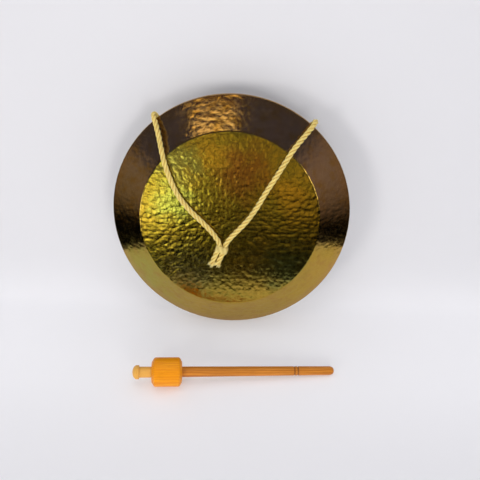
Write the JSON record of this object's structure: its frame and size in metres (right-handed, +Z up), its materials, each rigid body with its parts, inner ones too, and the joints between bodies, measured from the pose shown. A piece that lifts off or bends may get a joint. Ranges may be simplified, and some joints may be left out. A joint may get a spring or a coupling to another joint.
{
  "type": "tam tam gong",
  "caption": "Hammered brass hand gong with a domed face, wide sloping rim and turned-back lip, a knotted carrying cord through the lip, and a turned wooden mallet",
  "frame": {"origin": "the point of the lip's back edge on which the gong stands, on the floor", "axes": "+Z up; the face looks to -Y and leans back 12 degrees; +X is to the right of someone who faces the gong"},
  "size_m": [0.2996, 0.216, 0.2939],
  "materials": {
    "hammered_brass": "hammered, patinated",
    "cotton_cord": "three-strand twisted cotton",
    "cotton_twine": "wrapped twine",
    "stick_wood": "turned, oiled",
    "head_wood": "turned, oiled"
  },
  "bodies": {
    "gong": {"gong_body": "hammered_brass", "cord_left_bend": "cotton_cord", "cord_back_run": "cotton_cord", "cord_right_bend": "cotton_cord"},
    "cord_loop": {"cord_left_leg": "cotton_cord", "cord_right_leg": "cotton_cord", "cord_seizing": "cotton_twine"},
    "mallet": {"mallet_stick": "stick_wood", "mallet_head": "head_wood"}
  },
  "joints": [
    {"name": "cord_loop_swing", "type": "hinge", "parent": "gong", "child": "cord_loop", "pos_m": [-0.0936, 0.0424, 0.26804], "axis": [-0.9995, 0.0067, 0.0316], "range_deg": [0, 165], "deforming": ["cord_left_bend", "cord_right_bend"]},
    {"name": "mallet_lift", "type": "slide", "parent": "gong", "child": "mallet", "axis": [0, 0, 1], "range_m": [0, 0.15]}
  ]
}
